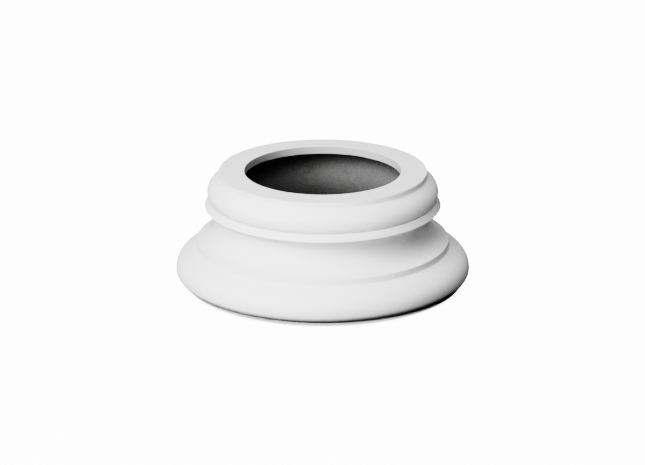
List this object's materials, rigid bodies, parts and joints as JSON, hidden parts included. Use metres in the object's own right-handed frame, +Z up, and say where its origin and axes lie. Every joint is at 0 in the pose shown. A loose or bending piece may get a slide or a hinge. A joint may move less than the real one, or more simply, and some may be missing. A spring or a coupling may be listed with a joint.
{
  "type": "column base",
  "caption": "Round hollow column base in white moulded foam: torus mouldings above and below a scotia and a band, with a flat top ring around a wide bore.",
  "frame": {"origin": "middle of the flat underside, on the axis of the bore", "axes": "+Z up along the axis of the bore, from the large torus to the flat top"},
  "size_m": [0.32, 0.32, 0.1173],
  "materials": {
    "foam": "white primed rigid foam, satin, smooth outside and darker and grainy inside"
  },
  "bodies": {
    "root": {"column_base": "foam"}
  },
  "joints": []
}
